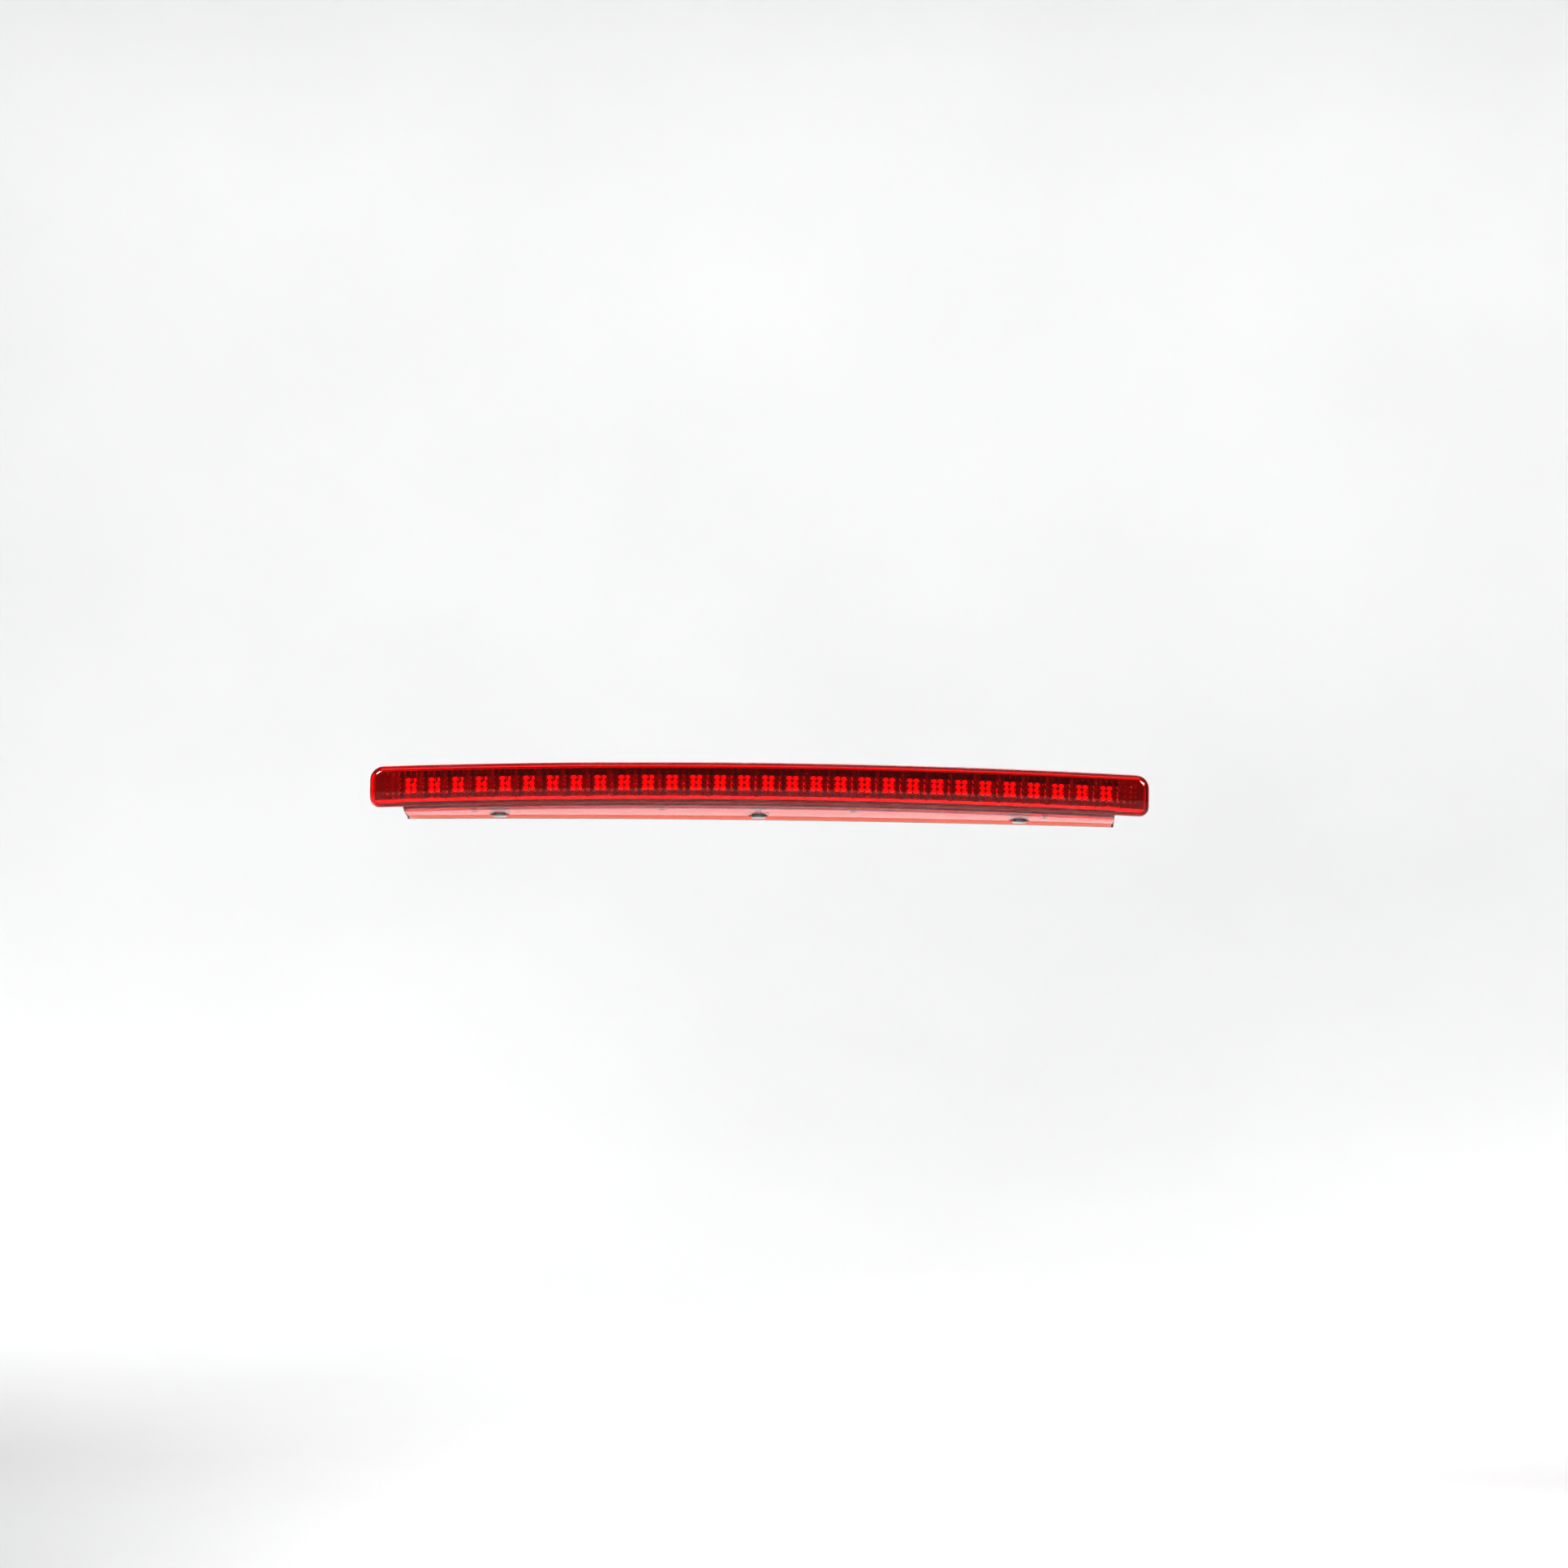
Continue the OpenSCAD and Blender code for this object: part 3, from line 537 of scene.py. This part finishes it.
def rounding(x, h, inset, r):
    """How far the edge's radius carries a point back, by its distance from the outline's top and ends."""
    ex, ez = HALF_W - inset, LAMP_H - inset
    rt, rl = TOP_R - inset, LOW_R - inset
    low = CHAMBER_H + inset
    px, pt, pl = abs(x) - (ex - rt), h - (ez - rt), (low + rl) - h
    weight = 1.0
    if px > 0 and pt > 0:
        e = rt - math.hypot(px, pt)
    elif pl > 0 and abs(x) > ex - rl:
        qx = abs(x) - (ex - rl)
        e = rl - math.hypot(qx, pl)
        weight = qx / math.hypot(qx, pl) if inset == 0 else 1.0
    else:
        e = min(ex - abs(x), ez - h)
        if inset:
            e = min(e, h - low)
    g = min(r, max(0.0, r - e))
    return (r - math.sqrt(r * r - g * g)) * weight


def face_depth(h, inset):
    """Depth of the face, or of its inner side, at height h."""
    if h >= TURN_H:
        return CROWN_R - math.sqrt((CROWN_R - inset) ** 2 - (h - TURN_H) ** 2)
    return UNDER_R - math.sqrt((UNDER_R - inset) ** 2 - (TURN_H - h) ** 2)


def pillow(x, h):
    """Height of the pillow field over the lens's inner side."""
    v = (h - PILLOW_LOW) / PILLOW_H
    u = x / PILLOW_W
    if abs(x) > zone + 0.01 or v < -0.01 or v > ROWS + 0.01:
        return 0.0
    dx = (abs(u) % 1 - 0.5) * PILLOW_W
    dz = (v % 1 - 0.5) * PILLOW_H
    base = PILLOW_R ** 2 - PILLOW_W ** 2 / 4 - PILLOW_H ** 2 / 4
    return math.sqrt(PILLOW_R ** 2 - dx * dx - dz * dz) - math.sqrt(base) - SUNK


steps = PILLOWS * SAMPLES // 2
inner_x = [k * PILLOW_W / SAMPLES for k in range(-steps, steps + 1)]
skirt_i = round(SKIRT_HALF * SAMPLES / PILLOW_W)
outer_x = list(np.interp(inner_x, [-zone, -skirt_i * PILLOW_W / SAMPLES, skirt_i * PILLOW_W / SAMPLES, zone],
                         [-TURN_X, -SKIRT_HALF, SKIRT_HALF, TURN_X]))
inner_half = HALF_W - WALL
inner_x = ([-(inner_half - (inner_half - zone) * c) for c in reversed(tail)] + inner_x
           + [inner_half - (inner_half - zone) * c for c in tail])
outer_x = ([-(HALF_W - (HALF_W - TURN_X) * c) for c in reversed(tail)] + outer_x
           + [HALF_W - (HALF_W - TURN_X) * c for c in tail])
inner_h = ([11.5, 11.6, 11.9, 12.6, 13.4]
           + [PILLOW_LOW + j * PILLOW_H / SAMPLES for j in range(ROWS * SAMPLES + 1)]
           + [27.6, 28.1, 28.25, 28.3])
crown_from = list(np.linspace(TURN_H, LAMP_H - EDGE_R, 14 + ROWS))[1:]
outer_h = list(np.linspace(CHAMBER_H, TURN_H, 12)) + crown_from + [LAMP_H - EDGE_R * c for c in tail]


def field(xs, hs, inset, r):
    """The face's points, as rows of straight (x, d, h), with each column fitted into the outline."""
    out = []
    for x in xs:
        low, high = span(x, inset)
        column = []
        for h in hs:
            z = low + (h - hs[0]) / (hs[-1] - hs[0]) * (high - low)
            d = face_depth(z, inset) + rounding(x, z, inset, r)
            column.append((x, d + (pillow(x, h) if inset else 0.0), z))
        out.append(column)
    return out


outer = field(outer_x, outer_h, 0.0, EDGE_R)
inner = field(inner_x, inner_h, WALL, 0.7)
lens_verts, lens_faces = [], []


def sheet(rows, skip=lambda i, k: False, closed=False):
    """Adds a grid of points as quads."""
    base, n = len(lens_verts), len(rows[0])
    for row in rows:
        lens_verts.extend(row)
    for i in range(len(rows) - 1 + closed):
        j = (i + 1) % len(rows)
        for k in range(n - 1):
            if not skip(i, k):
                a, b = base + i * n + k, base + j * n + k
                lens_faces.append((a, a + 1, b + 1, b))


def edge_of(grid):
    """The boundary of a grid, in order: bottom, right end, top, left end."""
    bottom = [column[0] for column in grid]
    right = grid[-1][1:]
    top = [column[-1] for column in reversed(grid[:-1])]
    left = list(reversed(grid[0][1:-1]))
    return bottom + right + top + left


def bent(points):
    """Carries straight points along the bow."""
    return [on_bow(*p) for p in points]


first = next(i for i, x in enumerate(outer_x) if x > -SKIRT_HALF - 0.001)
last = len(outer_x) - 1 - first
sheet([bent(column) for column in outer])
sheet([bent(column) for column in inner])
out_edge, in_edge = edge_of(outer), edge_of(inner)
# The side wall runs down to the rim, across it and up inside. The skirt takes its place in the middle.
sheet([bent([p, (p[0], 8.5, p[2])]) for p in out_edge], lambda i, k: first <= i < last, True)
sheet([bent([(p[0], 8.5, p[2]), (p[0], 9.75, p[2]), (p[0], RIM_D, p[2]), (q[0], RIM_D, q[2]),
             (q[0], 7.5, q[2]), q]) for p, q in zip(out_edge, in_edge)], closed=True)


def skirt_point(x, y, upper):
    """A point on the skirt's under or upper side, at world x and y."""
    forward, down = bow_shift(x)
    d = y + SCREW_BACK - forward
    h = (LAMP_D - d) * math.tan(SLOPE)
    if upper:
        h += WALL / math.cos(SLOPE)
    else:
        start = tangent_y(x, 0.0)
        if start < y <= LIP_Y:
            h += LIP * ((y - start) / (LIP_Y - start)) ** 2
    return x, y, h - down - SEAT_UP


def tangent_y(x, inset):
    """Where the round under the face meets the skirt's straight part."""
    return UNDER_R + (UNDER_R - inset) * math.cos(TANGENT) + bow_shift(x)[0] - SCREW_BACK


def skirt_column(x, upper):
    """The skirt's points at x, from the chamber's underside to the skirt's front edge."""
    r = UNDER_R - (WALL if upper else 0.0)
    start = math.pi + math.asin((TURN_H - CHAMBER_H) / r)
    column = [on_bow(x, UNDER_R + r * math.cos(a), TURN_H + r * math.sin(a))
              for a in np.linspace(start, TANGENT, 3 if upper else 8)]
    corner = max(0.0, abs(x) - (SKIRT_HALF - SKIRT_CORNER))
    front = LAMP_D - SCREW_BACK - SKIRT_CORNER + math.sqrt(SKIRT_CORNER ** 2 - corner ** 2)
    squeeze = (front + BLOCK_HALF) / (LAMP_D - SCREW_BACK + BLOCK_HALF)
    begin = column[-1][1]
    column += [skirt_point(x, begin + (-BLOCK_HALF - begin) * k / 5, upper) for k in range(1, 6)]
    # Rows crowd together at the lip and at the front edge, which is broken by SKIRT_SOFT.
    flat = [*range(-6, LIP_Y + 1, 2)] + ([9.35, SKIRT_END] if upper else [8.2, 8.45, 9.3, SKIRT_END])
    for y in flat:
        p = skirt_point(x, y, upper)
        column.append((x, -BLOCK_HALF + (y + BLOCK_HALF) * squeeze, p[2]))
    x0, y0, z0 = column[-1]
    column[-1] = (x0, y0, z0 - SKIRT_SOFT if upper else z0 + SKIRT_SOFT)
    return column


under = [skirt_column(x, False) for x in outer_x[first:last + 1]]
over = [skirt_column(x, True) for x in outer_x[first:last + 1]]
SCREW_X = (-139.0, 0.0, 139.0)
under_row, over_row = 12, 7
blocks = []
for x0 in SCREW_X:
    near = [i for i, x in enumerate(outer_x[first:last + 1]) if abs(x - x0) < BLOCK_HALF]
    blocks.append((near[0], near[-1]))


def in_block(row):
    """Says which quads make way for a screw's recess."""
    return lambda i, k: any(a <= i < b for a, b in blocks) and row <= k < row + BLOCK_ROWS


sheet(under, in_block(under_row))
sheet(over, in_block(over_row))
sheet([[u[-1], o[-1]] for u, o in zip(under, over)])
for column_u, column_o in ((under[0], over[0]), (under[-1], over[-1])):
    base = len(lens_verts)
    side = column_u + column_o[::-1]
    lens_verts.extend(side)
    lens_faces.append(tuple(range(base, base + len(side))))


def block_edge(grid, a, b, row):
    """The square of points round a screw, in order."""
    return ([grid[i][row] for i in range(a, b)] + [grid[b][k] for k in range(row, row + BLOCK_ROWS)]
            + [grid[i][row + BLOCK_ROWS] for i in range(b, a, -1)]
            + [grid[a][k] for k in range(row + BLOCK_ROWS, row, -1)])


def on_circle(x0, p, r, z=None, upper=False):
    """The point round a screw that lies the same way as p, at height z or on the skirt's surface."""
    a = math.atan2(p[1], p[0] - x0)
    x, y = x0 + r * math.cos(a), r * math.sin(a)
    return (x, y, z) if z is not None else (x, y, skirt_point(x, y, upper)[2])


def seat_under(x):
    """Height of the recess's ceiling at a screw."""
    forward, down = bow_shift(x)
    return (LAMP_D - SCREW_BACK + forward) * math.tan(SLOPE) - down + RECESS_UP - SEAT_UP


# Each hole, from below: the skirt, the recess, its ceiling, the sleeve's bore, and the pad on top.
for x0, (a, b) in zip(SCREW_X, blocks):
    ceiling = seat_under(x0)
    rows = []
    for p, q in zip(block_edge(under, a, b, under_row), block_edge(over, a, b, over_row)):
        mouth = on_circle(x0, p, RECESS_R + 0.15)
        rows.append([p, mouth, (*on_circle(x0, p, RECESS_R)[:2], mouth[2] + 0.15),
                     on_circle(x0, p, RECESS_R, ceiling), on_circle(x0, p, SLEEVE_R, ceiling),
                     on_circle(x0, p, SLEEVE_R, 0.0), on_circle(x0, p, PAD_R - 0.3, 0.0),
                     on_circle(x0, p, PAD_R, -0.3), on_circle(x0, q, PAD_R, upper=True), q])
    sheet(rows, closed=True)

# Red acrylic is as clear as glass but less refractive. Its dye passes red and stops green and blue, so a
# thin rim glows scarlet while the depth behind the face goes to a dark wine red.
red_acrylic = clear("red_moulded_acrylic", "FE7F14", 4.0, 1.25, 1.49, (0.0, 0.05), 9.0, 0.02)
piece("lens_moulding", (lens_verts, lens_faces), red_acrylic, ["lens"], 30)

# ---------------------------------------------------------------- support posts
# Four round posts of grey nylon stand under the flange and carry the lens's weight on the skirt. They
# keep their CAD shape.
# Plain moulded nylon is a light grey with a soft sheen.
post_nylon = surface("grey_nylon", "8E9093", "77797C", (0.4, 0.6), 0.4, 0.02)
dress("support_posts", post_nylon, 0.2)

# ---------------------------------------------------------------- foam gasket
# A strip of closed-cell rubber foam, stuck to the flange, that closes the gap to the spoiler. It is cut
# from sheet, runs over the top and down both ends, and stops above the drain gap.
foam_section = [(0.35, 12.75), (0.55, 12.55), (1.75, 12.55), (1.92, 12.75), (1.9, 15.0), (1.6, 15.4),
                (1.1, 15.48), (0.6, 15.35), (0.36, 15.0)]
foam_rows = []
for inset, depth in foam_section:
    upper, lower = chains(inset)
    reach = [(upper[0][0], 13.2), (upper[0][0], 18.0)] + upper + [(upper[-1][0], 18.0), (upper[-1][0], 13.2)]
    foam_rows.append([on_bow(x, depth, h) for x, h in reach])
foam_n = len(foam_rows[0])
foam_faces = [(i * foam_n + k, i * foam_n + k + 1, j * foam_n + k + 1, j * foam_n + k)
              for i in range(len(foam_rows)) for j in [(i + 1) % len(foam_rows)] for k in range(foam_n - 1)]
foam_faces += [tuple(i * foam_n + k for i in range(len(foam_rows))) for k in (0, foam_n - 1)]
# Foam rubber is charcoal and quite matt, pitted where its cells are cut, about 0.5 mm across.
foam = surface("charcoal_foam_rubber", "3B3B3E", "29292B", (0.75, 0.95), 0.5, 0.2)
piece("foam_strip", ([p for row in foam_rows for p in row], foam_faces), foam,
      ["foam_gasket"], 50)

# ---------------------------------------------------------------- spring clips
# Two clips of blackened spring steel, riveted to the housing's back by its studs, that snap into the
# spoiler. Cut and folded from 0.8 mm strip. They keep their CAD shape.
# Oil-blackened steel is a dark metal with a brushed grain from the strip.
spring_steel = surface("blackened_spring_steel", "5A5E63", "44474B", (0.28, 0.5), 0.3, 0.01, (8, 1, 1),
                       Metallic=1.0)
dress("spring_clips", spring_steel, 0.12)

# ---------------------------------------------------------------- mounting screws
# Three machine screws run up through the skirt into the spoiler: stainless steel, with a pan head, a
# hexagon socket and a rolled thread.
SCREW_R = 2.1
NECK_R = 1.7
HEAD_R = 4.0
HEAD_T = 2.4
WASHER_T = 0.7
THREAD_FROM = 0.3
THREAD_L = 11.0
THREAD_PITCH = 0.7
TIP_L = 2.0


def socket_screw(under_z, n=36):
    """A screw along +Z whose head's underside is at under_z."""
    rows = []

    def ring(z, r, sides=0):
        row = []
        for k in range(n):
            a = 2 * math.pi * k / n
            local = r
            if sides:
                flat = math.pi / sides
                local = r * math.cos(flat) / math.cos(a % (2 * flat) - flat)
            row.append((local * math.cos(a), local * math.sin(a), z))
        rows.append(row)

    bottom = under_z - HEAD_T
    ring(bottom + 1.5, 0.3)
    ring(bottom + 1.3, 2.0, 6)
    ring(bottom + 0.15, 2.31, 6)
    ring(bottom + 0.02, 2.45)
    ring(bottom, 2.7)
    for a in np.linspace(0.25, 1.0, 6):
        ring(bottom + 1.2 * (1 - math.cos(a * math.pi / 2)), 2.7 + 1.3 * math.sin(a * math.pi / 2))
    ring(under_z - 0.15, HEAD_R)
    ring(under_z, HEAD_R - 0.15)
    ring(under_z, NECK_R + 0.2)
    ring(under_z + 0.3, NECK_R)
    ring(THREAD_FROM - 0.1, NECK_R)
    turns = 8
    levels = int(THREAD_L / THREAD_PITCH * turns)
    for j in range(levels + 1):
        z = THREAD_FROM + THREAD_L * j / levels
        fade = min(1.0, j / turns, (levels - j) / turns)
        row = []
        for k in range(n):
            a = 2 * math.pi * k / n
            phase = (j / turns - k / n) % 1.0
            crest = min(1.0, max(0.0, 1.6 * abs(2 * phase - 1) - 0.3))
            r = NECK_R + (SCREW_R - NECK_R) * (crest * fade + (1 - fade) * 0.3)
            row.append((r * math.cos(a), r * math.sin(a), z))
        rows.append(row)
    ring(THREAD_FROM + THREAD_L + TIP_L - 0.1, 0.6)
    ring(THREAD_FROM + THREAD_L + TIP_L, 0.45)
    verts = [p for row in rows for p in row]
    faces = [(i * n + k, i * n + (k + 1) % n, (i + 1) * n + (k + 1) % n, (i + 1) * n + k)
             for i in range(len(rows) - 1) for k in range(n)]
    faces += [tuple(range(n)), tuple(range((len(rows) - 1) * n, len(rows) * n))]
    return verts, faces


# Cold-headed stainless steel is a neutral bright metal, brushed round by tumbling.
stainless = surface("stainless_steel", "D6D7D8", "BBBDBF", (0.12, 0.28), 0.3, 0.008, Metallic=1.0)
piece("socket_screws", join([moved(socket_screw(seat_under(x) - WASHER_T), Matrix.Translation((x, 0, 0)))
                             for x in SCREW_X]), stainless, ["mounting_screws"], 38)
dress("mounting_washers", stainless, 0.12)

# ---------------------------------------------------------------- screw sleeves
# A turned brass sleeve, pressed into each hole, takes the screw's load off the acrylic. They keep their CAD
# shape. Turning leaves the brass bright, with fine rings round it.
brass = surface("turned_brass", "D3B266", "BF9B50", (0.2, 0.36), 0.25, 0.006, (1, 1, 8), Metallic=1.0)
dress("screw_sleeves", brass, 0.15)

# ---------------------------------------------------------------- studio
# A pale paper floor that sweeps up behind into a backdrop, in a dim room. Two lamps at the sides, one above
# and one behind light the object, and three light the paper. The face mirrors the dark room above and the
# pale floor below.
FLOOR_Z = -450.0
SWEEP_Y = 1200
SWEEP_R = 900
sweep_pts = [(-4000, FLOOR_Z), (SWEEP_Y, FLOOR_Z)]
sweep_pts += [(SWEEP_Y + SWEEP_R * math.sin(a), FLOOR_Z + SWEEP_R * (1 - math.cos(a)))
              for a in np.linspace(0.1, math.pi / 2, 14)]
sweep_pts += [(SWEEP_Y + SWEEP_R, 950)]
floor_mesh = bpy.data.meshes.new("floor")
floor_mesh.from_pydata([(x, y / 1000, z / 1000) for y, z in sweep_pts for x in (-4.0, 4.0)], [],
                       [(2 * i, 2 * i + 1, 2 * i + 3, 2 * i + 2) for i in range(len(sweep_pts) - 1)])
floor_mesh.shade_smooth()
floor_ob = bpy.data.objects.new("floor", floor_mesh)
bpy.context.scene.collection.objects.link(floor_ob)
paper = surface("pale_backdrop_paper", "F4F4F4", "F0F0F0", (0.8, 0.95), 3.0, 0.02, patch=300.0)
floor_mesh.materials.append(paper)

world = bpy.data.worlds.new("room")
bpy.context.scene.world = world
world.use_nodes = True
tree = world.node_tree
tree.nodes.clear()
dim = add(tree, "Background", {"Color": colour("8E9196"), "Strength": 0.25})
add(tree, "OutputWorld", {"Surface": dim.outputs[0]})


def softbox(name, azimuth, elevation, distance, size, watts, grid, aim=(0, 0, 0)):
    """A soft lamp that looks at aim from an azimuth and an elevation, in degrees and metres. Its grid keeps
    its light within so many degrees."""
    light = bpy.data.lights.new(name, "AREA")
    light.shape = "RECTANGLE"
    light.size, light.size_y = size
    light.energy = watts
    light.spread = math.radians(grid)
    a, e = math.radians(azimuth), math.radians(elevation)
    back = Vector((math.sin(a) * math.cos(e), -math.cos(a) * math.cos(e), math.sin(e)))
    ob = bpy.data.objects.new(name, light)
    ob.location = Vector(aim) + back * distance
    ob.rotation_mode = "QUATERNION"
    ob.rotation_quaternion = (-back).to_track_quat("-Z", "Y")
    bpy.context.scene.collection.objects.link(ob)


softbox("key", -42, 30, 2.6, (0.5, 0.4), 3.9, 28)
softbox("fill", 42, 28, 2.6, (1.2, 0.9), 4.5, 28)
softbox("top", 0, 82, 2.0, (2.2, 1.2), 2, 120)
softbox("rear", 165, 45, 2.2, (1.6, 0.8), 5, 120)
softbox("apron", 0, 80, 2.2, (2.4, 1.2), 10, 70, (0, -2.0, -0.45))
softbox("sweep", 0, 50, 2.4, (3.4, 0.8), 8, 44, (0, 1.5, -0.42))
softbox("backdrop", 0, 32, 2.4, (3.4, 0.6), 11, 48, (0, 2.1, 0.55))

# ---------------------------------------------------------------- camera
# It stands 2 m from the lit face at the lamp's own height, a little to the right, and leans a little. Its
# long lens keeps the two ends of the bow at nearly the same scale.
AZIMUTH = math.radians(2.75)
ROLL = math.radians(0.67)
DISTANCE = 2.0
AIM_RIGHT = 0.0147
AIM_UP = 0.0043
camera = bpy.data.cameras.new("camera")
camera.lens = 87.2
camera.sensor_width = 36.0
view_from = bpy.data.objects.new("camera", camera)
bpy.context.scene.collection.objects.link(view_from)
right = np.array([math.cos(AZIMUTH), math.sin(AZIMUTH), 0])
mid_face = np.array([0, LENS_LOW.y / 1000, 0.0084])
aim = mid_face + AIM_RIGHT * right + np.array([0, 0, AIM_UP])
view_from.location = aim + DISTANCE * np.array([math.sin(AZIMUTH), -math.cos(AZIMUTH), 0])
turn = (Matrix.Rotation(AZIMUTH, 3, "Z") @ Matrix.Rotation(math.pi / 2, 3, "X")
        @ Matrix.Rotation(ROLL, 3, "Z"))
view_from.rotation_mode = "QUATERNION"
view_from.rotation_quaternion = turn.to_quaternion()
bpy.context.scene.camera = view_from
bpy.context.scene.view_settings.view_transform = "Standard"
